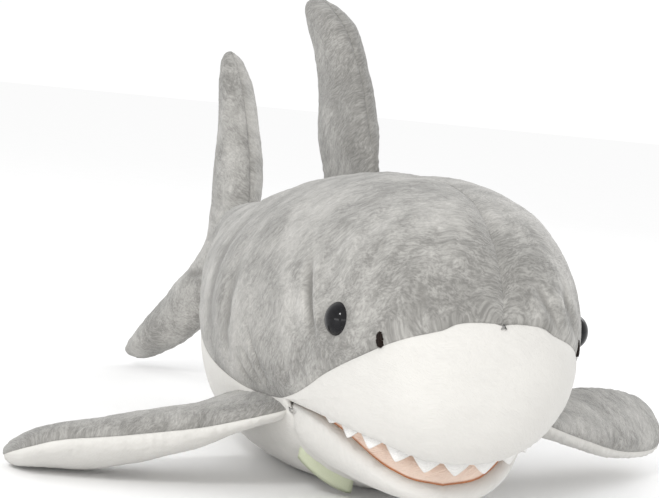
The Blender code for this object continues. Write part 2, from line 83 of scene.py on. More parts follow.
# distance from the nose, half width, height of the lower lip, depth below it
JAW = [
    (26.5, 0, 15.2, 0),
    (28, 12.5, 16.9, 5.6),
    (32.5, 20.5, 19.5, 9),
    (39, 27, 22.8, 13),
    (50, 34, 27.8, 19.1),
    (62, 40.5, 32, 23.7),
    (75, 47, 34.8, 27),
]
EYE_AT = (40, 71)
EYE_RADIUS = 6.1
EYE_HEIGHT = 5.2
EYE_LIFT = -0.4
NOSTRIL_AT = (19.7, 68)
TEETH = 15
TEETH_RAISE = 1.4
TEETH_INSET = 2.9
TOOTH_SHORTEST, TOOTH_GROWTH = 0.6, 5.2
PALATE_INSET = 3.4
TUCK = 0.7  # how far a panel's edge runs under its neighbour
BACK_THICKNESS = 1.9
WHITE_THICKNESS = 1.8
JAW_THICKNESS = 1.4
LINING_THICKNESS = 1.0
FIN_THICKNESS = 1.2
TAPE_THICKNESS = 0.3
BACK_SWELL = 1.7
WHITE_SWELL = 1.5
JAW_SWELL = 1.2
LIP_ROLL = 2.6
PAD_RISE = 8.5
NOSTRIL_HALF_HEIGHT, NOSTRIL_HALF_WIDTH = 2.6, 1.9
THREAD_RADIUS = 0.27
TAPE_LEFT, TAPE_RIGHT = -41, -19
TAPE_FROM_NOSE = 79.2
TAPE_DROP = 7.2
NAP_TURN = radians(50)
STEP = 4  # fine faces to one face of a skin's inside


# ---- curves and noise ----
def spline(rows, positions, first=None):
    """Points at the given row positions of a Catmull-Rom curve through the rows."""
    rows = np.asarray(rows, float)
    before = 2 * rows[0] - rows[1] if first is None else np.asarray(first, float)
    ends = np.vstack([before, rows, 2 * rows[-1] - rows[-2]])
    index = np.clip(np.floor(positions).astype(int), 0, len(rows) - 2)
    f = (positions - index)[:, None]
    a, b, c, d = (ends[index + k] for k in range(4))
    return 0.5 * (2 * b + (c - a) * f + (2 * a - 5 * b + 4 * c - d) * f**2
                  + (3 * b - a - 3 * c + d) * f**3)


def fine_body():
    _, width, top, bottom = BODY[1]
    mirrored = (BODY[1][0], -width, 2 * BODY[0][2] - top, 2 * BODY[0][3] - bottom)
    return spline(BODY, np.linspace(0, len(BODY) - 1, 80 * (len(BODY) - 1) + 1), mirrored)


STATIONS = fine_body()


def section(y):
    """Half width, middle height and half height of the body at a distance from the nose."""
    width, top, bottom = (np.interp(y, STATIONS[:, 0], STATIONS[:, k]) for k in (1, 2, 3))
    past = np.clip((np.asarray(y) - ROUND_FROM) / (PEDUNCLE_END - ROUND_FROM), 0, 1)
    rounding = np.sqrt(1 - 0.997 * past**2)
    return width * rounding, (top + bottom) / 2, (top - bottom) / 2 * rounding


def smooth_curve(rows, count=400):
    return spline(rows, np.linspace(0, len(rows) - 1, count))


def height_on(rows, y):
    fine = smooth_curve(rows)
    return np.interp(y, fine[:, 0], fine[:, 1])


def noise(points, size, seed, octaves=1):
    """Smooth 3-D gradient noise of about -1 to 1, one value for each point."""
    total = np.zeros(len(points))
    gain = 1.0
    for k in range(octaves):
        total += gain * gradient_noise(points / size * 2**k + 17.3 * k, seed + k)
        gain *= 0.5
    return total


def gradient_noise(p, seed):
    source = np.random.RandomState(seed)
    table = source.permutation(256)
    gradients = unit(source.normal(size=(256, 3)))
    cell = np.floor(p).astype(int)
    f = p - cell
    ease = f * f * f * (f * (f * 6 - 15) + 10)
    total = np.zeros(len(p))
    for corner in range(8):
        step = np.array([corner & 1, corner >> 1 & 1, corner >> 2 & 1])
        at = (cell + step) & 255
        index = table[(table[(table[at[:, 0]] + at[:, 1]) & 255] + at[:, 2]) & 255]
        share = np.prod(np.where(step, ease, 1 - ease), axis=1)
        total += share * (gradients[index] * (f - step)).sum(1)
    return total * 1.6


def lengths(points, axis):
    """Running length along an axis of a grid of points."""
    step = np.linalg.norm(np.diff(points, axis=axis), axis=2)
    pad = [(0, 0), (0, 0)]
    pad[axis] = (1, 0)
    return np.pad(np.cumsum(step, axis=axis), pad)


def path_lengths(line):
    """How far along a polyline each of its points lies."""
    return np.concatenate([[0], np.cumsum(np.linalg.norm(np.diff(line, axis=0), axis=1))])


def unit(vectors):
    return vectors / np.linalg.norm(vectors, axis=-1)[..., None]


def crowded(count, amount=0.55):
    """Numbers from 0 to 1 that lie closer together at both ends."""
    u = np.linspace(0, 1, count)
    return u - amount * np.sin(2 * pi * u) / (2 * pi)


def resample(line, count, spread=None):
    """Points along a polyline, evenly or by the given shares of its length."""
    line = np.asarray(line, float)
    along = path_lengths(line)
    share = np.linspace(0, 1, count) if spread is None else spread
    return np.column_stack([np.interp(share * along[-1], along, line[:, k]) for k in range(3)])


def normals(grid):
    """Unit normals of a grid of points."""
    down = np.gradient(grid, axis=0)
    across = np.gradient(grid, axis=1)
    n = np.cross(across, down)
    size = np.linalg.norm(n, axis=2)
    n /= np.maximum(size, 1e-9)[:, :, None]
    weak = size < 1e-7
    if weak.any():
        good = n[~weak].mean(0)
        n[weak] = good / np.linalg.norm(good)
    return n


def line_distance(points, line):
    """Distance from each point to a polyline, and how far along it, 0 to 1, the nearest point is."""
    line = np.asarray(line, float)
    best = np.full(len(points), 1e9)
    where = np.zeros(len(points))
    for k in range(len(line) - 1):
        a, d = line[k], line[k + 1] - line[k]
        t = np.clip((points - a) @ d / (d @ d), 0, 1)
        gap = np.linalg.norm(points - a - t[:, None] * d, axis=1)
        near = gap < best
        best = np.where(near, gap, best)
        where = np.where(near, (k + t) / (len(line) - 1), where)
    return best, where


def crease(points, line, depth, width):
    """Outward move of a fold: a valley along a line, with a soft swell on each side of it."""
    gap, where = line_distance(points, line)
    taper = np.sin(pi * np.clip(where, 0.02, 0.98)) ** 0.6
    valley = np.exp(-(gap / width) ** 2)
    swell = np.exp(-((gap - 2.4 * width) / (1.7 * width)) ** 2)
    return depth * taper * (0.38 * swell - valley)


def body_x(y, z):
    width, middle, half = section(y)
    share = np.clip(np.abs((z - middle) / half), 0, 1)
    return width * (1 - share**ROUNDNESS) ** (1 / ROUNDNESS)


def on_side(side, rows):
    """Points of the body's surface given as distance from the nose and height."""
    return [(side * body_x(y, z), y, z) for y, z in rows]


def body_normal(y, z, side):
    x = body_x(y, z)
    slope_y = body_x(y + 1, z) - x
    slope_z = body_x(y, z + 1) - x
    return Vector((side * x, y, z)), Vector((side, -slope_y, -slope_z)).normalized()


# ---- meshes ----
def snout_lean(points):
    """How far the soft snout leans to its right: most at its front and low down."""
    forward = np.clip(1 - points[:, 1] / LEAN_END, 0, None) ** 1.2
    low = np.clip((LEAN_LOW_FROM - points[:, 2]) / LEAN_LOW_OVER, 0, 1)
    return SNOUT_LEAN * forward * (1 + LEAN_LOW_EXTRA * low * low * (3 - 2 * low))


def place(points):
    """Millimetres from the nose as metres in the frame, with the snout's lean."""
    points = np.array(points, float)
    points[:, 0] -= snout_lean(points)
    return (points - (0, FRAME_ORIGIN_FROM_NOSE, 0)) * MM


def mesh_object(name, points, faces, material):
    mesh = bpy.data.meshes.new(name)
    mesh.from_pydata(place(points).tolist(), [], faces)
    mesh.validate()
    made = bpy.data.objects.new(name, mesh)
    bpy.context.scene.collection.objects.link(made)
    mesh.materials.append(material)
    mesh.shade_smooth()
    return made


def add_values(obj, name, values):
    """Per-point numbers or vectors for the object's material to read."""
    values = np.asarray(values, np.float32)
    kind, field = ("FLOAT", "value") if values.ndim == 1 else ("FLOAT_VECTOR", "vector")
    attribute = obj.data.attributes.new(name, kind, "POINT")
    attribute.data.foreach_set(field, values.ravel())


def skin(name, outer, thickness, material, values, outward):
    """A closed piece: a fine outer sheet and a plainer inside, joined round the edge.

    values are named grids of numbers for the material. outward is 1 where the grid's own normals
    point out of the toy, and -1 where they point into it.
    """
    rows, columns = outer.shape[:2]
    count = rows * columns
    keep_r = list(range(0, rows, STEP))
    keep_c = list(range(0, columns, STEP))
    n = normals(outer) * outward
    inner = (outer - thickness * n)[np.ix_(keep_r, keep_c)]
    ir, ic = len(keep_r), len(keep_c)
    index = np.arange(count).reshape(rows, columns)
    inside = count + np.arange(ir * ic).reshape(ir, ic)

    def quads(grid, flip):
        a, b, c, d = grid[:-1, :-1], grid[:-1, 1:], grid[1:, 1:], grid[1:, :-1]
        order = (a, b, c, d) if not flip else (a, d, c, b)
        return np.stack([g.ravel() for g in order], 1).tolist()

    flip = outward < 0
    faces = quads(index, flip) + quads(inside, not flip)
    fine = np.concatenate([index[0], index[1:, -1], index[-1, -2::-1], index[-2:0:-1, 0]])
    coarse = np.concatenate([inside[0], inside[1:, -1], inside[-1, -2::-1], inside[-2:0:-1, 0]])
    for k in range(len(coarse)):
        a, b = coarse[k], coarse[(k + 1) % len(coarse)]
        run = [fine[(k * STEP + j) % len(fine)] for j in range(STEP + 1)]
        face = [int(v) for v in run[::-1]] + [int(a), int(b)]
        faces.append(face[::-1] if flip else face)
    points = np.vstack([outer.reshape(-1, 3), inner.reshape(-1, 3)])
    made = mesh_object(name, points, faces, material)
    for key, grid in values.items():
        tail = grid[np.ix_(keep_r, keep_c)]
        if grid.ndim == 2:
            flat = np.concatenate([grid.ravel(), tail.ravel()])
        else:
            flat = np.vstack([grid.reshape(-1, 3), tail.reshape(-1, 3)])
        add_values(made, key, flat)
    return made


def ruled(first, last, share):
    """A grid of points run straight from one line of points to another."""
    return first[None] * (1 - share[..., None]) + last[None] * share[..., None]


def cross_line(half_width, y, z, count):
    """Points straight across the toy."""
    x = np.linspace(-half_width, half_width, count)
    return np.column_stack([x, np.full(count, y), np.full(count, z)])


def ring_faces(base, rings, around, flip=False):
    """Quads between rings of points that are numbered one after another from base."""
    faces = []
    for i in range(rings - 1):
        for j in range(around):
            a = base + i * around + j
            b = base + i * around + (j + 1) % around
            face = (a, b, b + around, a + around)
            faces.append(face[:1] + face[:0:-1] if flip else face)
    return faces


def rides(piece, body, node):
    """Fixes a piece to a body and names the CAD node that it replaces."""
    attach(piece, body)
    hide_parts(node)


def snap(count):
    """The nearest count of points that suits the plainer inside."""
    return int(round((count - 1) / STEP)) * STEP + 1


# ---- soft surfaces ----
SWELL_OVER = 9  # distance from a seam over which a panel swells out
CALM_BY_SEAM = 3.5
PUCKER_LENGTH = 6.5
LUMP_SIZE, SMALL_LUMP_SIZE = 24, 9
TUFT_LENGTH, TUFT_WIDTH = 5.2, 1.7
NAP_DRIFT = 3.2


def edge_gap(grid, edges):
    """Distance from each point to the nearest of a grid's edges, place along it and its strength.

    edges gives the strength of the seam on each named edge that has one.
    """
    across, down = lengths(grid, 1), lengths(grid, 0)
    sides = {
        "first_column": (across, down),
        "last_column": (across[:, -1:] - across, down + 31),
        "first_row": (down, across + 57),
        "last_row": (down[-1:] - down, across + 83),
    }
    gap = np.full(across.shape, 1e9)
    along = np.zeros(across.shape)
    strength = np.zeros(across.shape)
    for name, strong in edges.items():
        g, a = sides[name]
        nearer = g < gap
        along = np.where(nearer, a, along)
        strength = np.where(nearer, strong, strength)
        gap = np.where(nearer, g, gap)
    return gap, along, strength


def plush_surface(grid, outward, edges, seed, seam_depth=1.7, seam_width=2.2, pucker=0.45,
                  pile=1.0, folds=(), lumps=0.7, swell=0.0, floor=0.35):
    """A panel's surface with sunk, puckered seams, stuffing lumps, folds and tufts of pile.

    Returns the moved grid, and the values that its material reads.
    """
    n = normals(grid) * outward
    shape = grid.shape[:2]
    flat = grid.reshape(-1, 3)
    gap, along, strong = edge_gap(grid, edges)
    gap = np.minimum(gap, 99)
    move = swell * (1 - np.exp(-gap / SWELL_OVER))
    move -= seam_depth * strong * np.exp(-(gap / seam_width) ** 1.2)
    if pucker:
        wander = noise(np.column_stack([along.ravel() / 9, flat[:, 0] / 60, flat[:, 2] / 60]),
                       1.0, seed + 5).reshape(shape)
        ripple = np.sin(2 * pi * along / PUCKER_LENGTH + 5 * wander)
        move += pucker * strong * ripple * np.exp(-gap / 4.2) * np.clip(gap / 1.2, 0, 1)
    away = 1 - np.exp(-(gap / CALM_BY_SEAM) ** 2)
    uneven = noise(flat, LUMP_SIZE, seed, 2) + 0.28 * noise(flat, SMALL_LUMP_SIZE, seed + 3)
    move += away * lumps * uneven.reshape(shape)
    depth = np.zeros(len(flat))
    for line, deep, wide in folds:
        depth += crease(flat, line, deep, wide)
    move += away * depth.reshape(shape)
    u, v = lengths(grid, 0), lengths(grid, 1)
    nap = np.dstack([u, v, np.zeros(shape)])
    drift = noise(flat, 13, seed + 7, 2).reshape(shape)
    tufts = np.column_stack([(u / TUFT_LENGTH).ravel(), ((v + NAP_DRIFT * drift) / TUFT_WIDTH).ravel(),
                             np.full(len(flat), seed * 1.7)])
    rough = 0.16 * noise(tufts, 1, seed + 9, 2) + 0.12 * noise(flat, 2.6, seed + 11)
    move += away * pile * rough.reshape(shape)
    moved = grid + move[:, :, None] * n
    if floor is not None:
        moved[:, :, 2] = np.maximum(moved[:, :, 2], floor)
    values = {
        "nap": nap + np.dstack([drift * 0, drift * NAP_DRIFT, drift * 0]),
        "seam": strong * np.exp(-(gap / 1.5) ** 1.3),
        # fold: how deep each point lies in a fold, which the material paints as shade
        "fold": np.clip(-depth, 0, 2).reshape(shape),
    }
    return moved, values


def tuck(grid, outward, edges):
    """Runs a panel's named edges a little way under the panels that they are sewn to."""
    n = normals(grid) * outward
    tucked = grid.copy()
    for name in edges:
        edge, beside = {"first_row": (np.s_[0], np.s_[1]), "first_column": (np.s_[:, 0], np.s_[:, 1]),
                        "last_column": (np.s_[:, -1], np.s_[:, -2])}[name]
        away = grid[edge] - grid[beside]
        away /= np.maximum(np.linalg.norm(away, axis=1), 1e-6)[:, None]
        tucked[edge] = grid[edge] + TUCK * away - 0.6 * TUCK * n[edge]
    return tucked


# ---- body skins ----
def section_points(y, start, end, columns, spread):
    """Rings of body points from angle start to angle end, spaced by length."""
    width, middle, half = section(y)
    fine = np.linspace(0, 1, 160)
    angle = start[:, None] + (end - start)[:, None] * fine
    power = 2 / ROUNDNESS
    x = width[:, None] * np.sign(np.sin(angle)) * np.abs(np.sin(angle)) ** power
    z = middle[:, None] + half[:, None] * np.sign(np.cos(angle)) * np.abs(np.cos(angle)) ** power
    z = np.maximum(z, 0)
    rings = np.zeros((len(y), columns, 3))
    for i in range(len(y)):
        line = np.column_stack([x[i], np.full(160, y[i]), z[i]])
        rings[i] = resample(line, columns, spread)
    return rings


def seam_angle(y):
    """Angle from the top of the body's ring to the colour seam."""
    _, middle, half = section(y)
    share = (height_on(COLOUR_SEAM, y) - middle) / np.maximum(half, 1e-6)
    share = np.clip(share, -1, 1)
    return np.arccos(np.sign(share) * np.abs(share) ** (ROUNDNESS / 2))


def body_rows(first, last, spacing, end_spread=0.35):
    """Distances from the nose that are evenly spaced along the body's outline."""
    y, width, top, _ = STATIONS.T
    keep = (y >= first) & (y <= last)
    track = np.column_stack([width[keep] * 0.6, y[keep], top[keep] * 0.8])
    track = np.vstack([track, [track[-1]]])
    track[-1, 1] = last
    along = path_lengths(track)
    count = snap(along[-1] / spacing)
    return np.interp(crowded(count, end_spread) * along[-1], along, track[:, 1])


def body_side(side, rows, columns):
    y = np.array(rows)
    end = seam_angle(y)
    return section_points(y, np.zeros(len(y)), end, columns, crowded(columns)) * (side, 1, 1)


def inside_body(p):
    width, middle, half = section(p[..., 1])
    share = (np.abs(p[..., 0] / np.maximum(width, 1e-6)) ** ROUNDNESS
             + np.abs((p[..., 2] - middle) / np.maximum(half, 1e-6)) ** ROUNDNESS)
    return (share < 1) & (p[..., 1] > 0)


def inside_jaw(p):
    rows = smooth_curve(JAW)
    width, rim, depth = (np.interp(p[..., 1], rows[:, 0], rows[:, k]) for k in (1, 2, 3))
    across = np.clip(np.abs(p[..., 0]) / np.maximum(width, 1e-6), 0, 1)
    low = rim - depth * (1 - across**2) ** 0.4
    return (across < 1) & (p[..., 1] > JAW[0][0]) & (p[..., 2] > low)


FARTHEST = 160.0  # no surface lies farther from the middle of its solid
HALVINGS = 34


def between(first, last, centre, inside, columns, rows):
    """A grid between two polylines over the surface of a rounded solid, seen from its centre."""
    a, b = (unit(resample(line, columns, crowded(columns, 0.3)) - centre) for line in (first, last))

    def surface(share):
        d = unit(ruled(a, b, share))
        low = np.zeros(d.shape[:2])
        high = np.full(d.shape[:2], FARTHEST)
        for _ in range(HALVINGS):
            half = (low + high) / 2
            within = inside(centre + half[:, :, None] * d)
            low = np.where(within, half, low)
            high = np.where(within, high, half)
        return centre + low[:, :, None] * d

    rough = np.linspace(0, 1, 60)
    first_try = surface(np.repeat(rough[:, None], columns, 1))
    along = lengths(first_try, 0)
    share = np.zeros((rows, columns))
    for j in range(columns):
        share[:, j] = np.interp(crowded(rows) * along[-1, j], along[:, j], rough)
    return surface(share)


def edge_on_body(rows, start):
    """A curve on both sides of the body from one mouth corner round the front to the other."""
    y = np.linspace(MOUTH_CORNER, start, 500)
    z = height_on(rows, y)
    _, middle, half = section(y)
    crossing = np.abs(z - middle) < half
    stop = len(y) if crossing.all() else int(np.argmin(crossing))
    right = [(-body_x(a, b), a, b) for a, b in zip(y[:stop], z[:stop])]
    tip = (0, right[-1][1] - 0.1, right[-1][2])
    return np.array(right + [tip] + [(-x, a, b) for x, a, b in reversed(right)])


def fold_lines(side):
    """Folds in the grey side panels, from distance from the nose and height."""
    rows = [
        ([(64.8, 88), (60.8, 81), (57.3, 74), (53.8, 68), (50.3, 62.5)], 1.9, 1.8),
        ([(117, 82), (119, 68), (118, 54), (114, 46)], 1.3, 4.2),
        ([(141, 100), (146, 82), (144, 62), (136, 48)], 1.2, 5.5),
        ([(196, 92), (201, 78), (199, 62), (192, 52)], 1.5, 4.5),
        ([(222, 86), (226, 74), (224, 64)], 1.2, 3.2),
        ([(103, 52), (95, 44), (87, 37)], 0.9, 1.3),
        ([(99, 60), (90, 49), (81, 38)], 0.8, 1.2),
        ([(107, 47), (101, 41), (96, 37)], 0.9, 1.3),
        ([(14, 88), (11, 82), (11, 76)], 0.8, 2.0),
        ([(268, 78), (272, 71), (268, 65)], 1.2, 2.4),
        ([(284, 78), (287, 71), (283, 65)], 1.3, 2.2),
    ]
    if side > 0:
        rows = rows[1:] + [([(9, 90), (7, 85), (6, 79), (7, 74)], 1.1, 1.9),
                           ([(16, 90), (13, 84), (13, 76), (16, 70)], 0.9, 2.2)]
    return [(on_side(side, line), deep, wide) for line, deep, wide in rows]


EYE_SMOOTH_RADIUS = 9.5
EYE_DIMPLE_RADIUS = 7.4
EYE_DIMPLE = 0.4


def eye_dimple(plain, moved, values, outward):
    """Smooths a skin round the eyes, presses it in a little there and paints shade on it in a ring at the
    eye's edge.
    """
    n = normals(plain) * outward
    flat = plain.reshape(-1, 3)
    for side in (-1, 1):
        point, _ = body_normal(*EYE_AT, side)
        gap = np.linalg.norm(flat - np.array(point), axis=1).reshape(plain.shape[:2])
        rough = 1 - np.exp(-((gap / EYE_SMOOTH_RADIUS) ** 4))
        moved = plain + (moved - plain) * rough[:, :, None] + BACK_SWELL * (1 - rough)[:, :, None] * n
        moved = moved - (EYE_DIMPLE * np.exp(-((gap / EYE_DIMPLE_RADIUS) ** 4)))[:, :, None] * n
        # Painted shade: a dark ring where the skin meets the eye, kept in the seam values.
        values["seam"] = np.maximum(values["seam"], 0.9 * np.exp(-(((gap - 5.9) / 1.5) ** 2)))
    return moved


def stands_for(nodes):
    """Names the CAD nodes that a stuffed piece replaces, and hides them."""
    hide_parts(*nodes)


def back_skins(grey):
    y = body_rows(BACK_START, PEDUNCLE_END, 0.85)
    columns = snap(115)
    for side, name in ((-1, "right"), (1, "left")):
        grid = body_side(side, y, columns)
        moved, values = plush_surface(grid, side, {"first_column": 0.1, "last_column": 0.2}, 10 + side,
                                      seam_width=1.6, folds=fold_lines(side), swell=BACK_SWELL)
        moved = eye_dimple(grid, moved, values, side)
        moved[:, 0, 0] = 0
        values["brush"] = brush_mask(moved)
        piece = skin(name + "_back_skin", moved, BACK_THICKNESS, grey, values, side)
        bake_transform(piece)
        nodes = [name + "_back_panel", name + "_tail_panel"]
        if side < 0:
            nodes += ["body_stuffing", "tail_stuffing"]
        stands_for(nodes)


def belly_skin(white):
    y = body_rows(MOUTH_CORNER - 1.5, PEDUNCLE_END, 0.9)
    start = seam_angle(y)
    columns = snap(131)
    grid = section_points(y, start, 2 * pi - start, columns, crowded(columns))
    edges = {"first_column": 0.2, "last_column": 0.2, "first_row": 0.4}
    moved, values = plush_surface(grid, 1, edges, 30, seam_width=1.6, lumps=0.35, pile=0.4, swell=WHITE_SWELL)
    values["brush"] = brush_mask(moved)
    moved = tuck(moved, 1, ("first_row", "first_column", "last_column"))
    belly = skin("belly_skin", moved, WHITE_THICKNESS, white, values, 1)
    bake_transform(belly)
    stands_for(["belly_panel", "tail_belly_panel"])


def snout_skin(white):
    seam = edge_on_body(COLOUR_SEAM, 0.2)
    lip = edge_on_body(UPPER_LIP, 5)
    grid = between(seam, lip, np.array([0, 50, 50.0]), inside_body, snap(241), snap(101))
    moved, values = plush_surface(grid, -1, {"first_row": 0.2, "last_row": 0.6}, 40,
                                  lumps=0.3, pile=0.4, seam_width=1.6, swell=WHITE_SWELL)
    values["brush"] = brush_mask(moved)
    moved = tuck(moved, -1, ("first_row",))
    snout = skin("snout_skin", moved, WHITE_THICKNESS, white, values, -1)
    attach(snout, "torso")
    stands_for(["snout_panel"])


def brush_mask(grid):
    """Where the pile is brushed backwards and looks darker: broad soft patches."""
    flat = grid.reshape(-1, 3)
    patch = noise(flat, 30, 77, 2) * 0.55 + noise(flat, 11, 78, 2) * 0.45
    x, y, z = flat.T
    nose = np.exp(-((y - 6) / 26) ** 2) * np.clip((z - 60) / 20, 0, 1)
    patch = patch + 0.55 * nose * np.clip(1.1 - np.abs(x + 6) / 40, 0, 1)
    return np.clip(0.5 + 0.5 * patch, 0, 1).reshape(grid.shape[:2])


# ---- jaw and mouth ----
UP = np.array([0, 0, 1.0])
JAW_MIDDLE = np.array([0, 64, 42.0])
# The orange band is painted shade on the lining just behind the lower lip.
SHADE_BAND_WIDTH = 2.0  # width of the orange band along the lower lip


def jaw_curve(drop):
    """The lower lip, lowered by drop, from the right corner round the chin to the left one."""
    rows = smooth_curve(JAW, 300)
    rows = rows[np.argsort(rows[:, 0])]
    right = [(-max(w, 0), y, r - drop) for y, w, r, _ in rows[::-1]]
    return np.array(right[:-1] + [(0, JAW[0][0], JAW[0][2] - drop)]
                    + [(-x, y, z) for x, y, z in reversed(right[:-1])])


def lip_roll_size(curve):
    """Radius of the rolled lower lip, which thins towards the mouth's corners."""
    return LIP_ROLL * np.clip((75.5 - curve[:, 1]) / 26, 0.12, 1) ** 0.7


def inward_of(curve):
    tangent = np.gradient(curve, axis=0)
    inward = unit(np.column_stack([-tangent[:, 1], tangent[:, 0], np.zeros(len(curve))]))
    toward = np.array([0, 62, 0]) - curve
    return inward * np.sign((inward * toward).sum(1))[:, None]


def jaw_grid(rim, roll, inward, columns):
    """The lower jaw's skin from the throat up to the lip, and rolled over it."""
    angle = np.linspace(-pi / 2, pi / 2, 200)
    y, width, top, depth = JAW[-1]
    throat = np.column_stack([width * np.sin(angle), np.full(200, y), top - depth * np.cos(angle) ** 0.8])
    outer = between(throat, jaw_curve(LIP_ROLL * 0.9), JAW_MIDDLE, inside_jaw, columns, snap(61))
    top_point = outer[-1].copy()
    top_point[:, 2] = rim[:, 2] - roll
    over = []
    for phi in np.linspace(0.1, pi, 13):
        over.append(top_point + (roll * (1 - cos(phi)))[:, None] * inward + (roll * sin(phi))[:, None] * UP)
    for drop in (1.2, 2.4, 3.6):
        over.append(top_point + (2 * roll)[:, None] * inward - drop * UP)
    grid = np.concatenate([outer, np.array(over)])
    extra = snap(len(grid)) - len(grid)
    if extra <= 0:
        return grid[:len(grid) + extra]
    lower = np.arange(1, extra + 1)[:, None, None] * UP
    return np.concatenate([grid, np.repeat(grid[-1:], extra, 0) - lower])


def mouth_pad(rim, roll, inward, columns):
    """The lining on the lower jaw, crowned behind the lip and running back to the throat."""
    crest = rim + (1.05 * roll)[:, None] * inward
    crest[:, 2] = rim[:, 2] - 0.35
    share = np.linspace(0, 1, snap(81)) ** 1.6
    pad = ruled(crest, cross_line(44, 73.5, 32.5, columns), share[:, None])
    crown = (1 - np.exp(-share / 0.05)) * (1 - share) ** 1.5
    room = np.clip((70 - crest[:, 1]) / 30, 0.0, 1)
    pad[:, :, 2] += PAD_RISE * crown[:, None] * room[None]
    return pad


def jaw_pieces(white, mouth):
    columns = snap(221)
    rim = resample(jaw_curve(0), columns, crowded(columns, 0.3))
    roll = lip_roll_size(rim)
    inward = inward_of(rim)
    moved, values = plush_surface(jaw_grid(rim, roll, inward, columns), 1, {"first_row": 0.4}, 50,
                                  lumps=0.25, pile=0.35, seam_depth=1.2, swell=JAW_SWELL)
    values["brush"] = brush_mask(moved)
    jaw = skin("jaw_skin", moved, JAW_THICKNESS, white, values, 1)
    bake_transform(jaw)
    stands_for(["jaw_panel", "jaw_stuffing"])

    moved, values = plush_surface(mouth_pad(rim, roll, inward, columns), 1, {}, 60,
                                  lumps=0.25, pile=0.4, pucker=0, floor=None)
    values["brush"] = brush_mask(moved)
    # Painted shade: the lining's first rows, next to the lower lip, take the darker band colour.
    values["shade_band"] = 1 - np.clip((lengths(moved, 0) - SHADE_BAND_WIDTH) / 0.6, 0, 1)
    lining = skin("mouth_pad_lower", moved, LINING_THICKNESS, mouth, values, 1)
    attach(lining, "lower_jaw")
    stands_for(["mouth_lining_lower"])


# ---- fins ----
PECTORAL_HINGE = (57, 100, 28)
PECTORAL_CHORD = (0.12, 1, -0.12)
PECTORAL_DROOP = {"right": radians(-12.5), "left": radians(-4)}
PECTORAL_YAW = {"right": radians(-12), "left": radians(10)}
PECTORAL_SAG = {"right": 3.0, "left": 0.0}
PECTORAL_TWIST = {"right": -0.25, "left": 0.65}
TWIST_END = 60.0
SAG_END = 72.0
CALM_WIDTH = 16.0  # where a panel of a fin is narrower, its surface gets plainer

# distance from the hinge, sweep backwards, half chord, half thickness
PECTORAL = [
    (-9, -1, 24.5, 5),
    (-3, 0, 25.5, 5.6),
    (3, 1, 25.4, 5.8),
    (10, 3, 25, 6.4),
    (26, 8, 23, 8.6),
    (52, 17, 21, 9),
    (72, 24.5, 18, 7.2),
    (81.5, 28.5, 13, 4.8),
    (85, 30, 5.5, 1.8),
    (85.9, 30.3, 1.2, 0.15),
]
# place across, from the nose and up, slope of the chord, half chord, half thickness
DORSAL = [
    (0, 162, 105, -0.2, 24.5, 6.0),
    (0, 163, 109.5, -0.2, 26, 5.6),
    (0, 164.3, 114, -0.2, 26.4, 5.2),
    (-0.3, 166, 119, -0.18, 26, 6),
    (-1, 170, 130, -0.1, 24, 8.8),
    (-2, 178, 153, 0, 19.5, 9),
    (-6, 185, 171, 0, 16.5, 9),
    (-9.8, 189.5, 180, 0, 12.5, 7),
    (-11.6, 191.5, 184, 0, 6, 3.2),
    (-12, 192, 185.3, 0, 1.2, 0.15),
]
# centre, direction of the chord, direction of the thickness, half chord, half thickness
CAUDAL = [
    ((1, 345.9, 161), (0, 1, 0.3), (-1, 0, 0), 1, 0.15),
    ((1, 345.5, 160), (0, 1, 0.3), (-1, 0, 0), 3.6, 1.9),
    ((1.5, 343, 156), (0, 1, 0.3), (-1, 0, 0), 9, 5.4),
    ((2.5, 338, 145), (0, 1, 0.3), (-1, 0, 0), 13.5, 8.2),
    ((3.5, 329, 122), (0, 1, 0.25), (-1, 0, 0), 17.3, 9.7),
    ((2.5, 320.5, 96), (0, 1, 0.15), (-1, 0, 0), 21.3, 10.8),
    ((0, 318, 66), (0, 1, 0), (-1, 0, 0), 20.5, 9.6),
    ((-9, 323, 45), (-0.35, 1, -0.2), (-1, -0.35, 0), 24, 9.4),
    ((-17, 331, 29), (-0.5, 1, -0.3), (-1, -0.5, 0), 25, 9.2),
    ((-24, 339, 16), (-0.5, 1, -0.3), (-1, -0.5, 0), 22.5, 8),
    ((-27, 342.5, 9.6), (-0.5, 1, -0.3), (-1, -0.5, 0), 16.5, 5.4),
    ((-28.5, 344, 6), (-0.5, 1, -0.3), (-1, -0.5, 0), 6.5, 2.2),
    ((-28.9, 344.4, 5.2), (-0.5, 1, -0.3), (-1, -0.5, 0), 1.2, 0.15),
]


def fin_grid(rows, spacing, start_angle, end_angle, columns):
    """Half of a fin's surface: rings down the fin, from one edge seam over to the other."""
    table = np.array([[*c, *chord, *thick, a, b] for c, chord, thick, a, b in rows])
    fine = spline(table, np.linspace(0, len(rows) - 1, 400))
    along = path_lengths(fine[:, :3])
    count = snap(along[-1] / spacing)
    share = np.linspace(0, 1, count)
    share = share + 0.12 * np.sin(2 * pi * share) / (2 * pi)
    picked = np.column_stack([np.interp(share * along[-1], along, fine[:, k]) for k in range(11)])
    chord = unit(picked[:, 3:6])
    thick = unit(picked[:, 6:9] - (picked[:, 6:9] * chord).sum(1)[:, None] * chord)
    angles = start_angle + (end_angle - start_angle) * crowded(columns, 0.35)
    rise = np.sign(np.sin(angles)) * np.abs(np.sin(angles)) ** 0.85
    return (picked[:, None, :3] + picked[:, None, 9:10] * np.cos(angles)[None, :, None] * chord[:, None]
            + picked[:, None, 10:11] * rise[None, :, None] * thick[:, None])


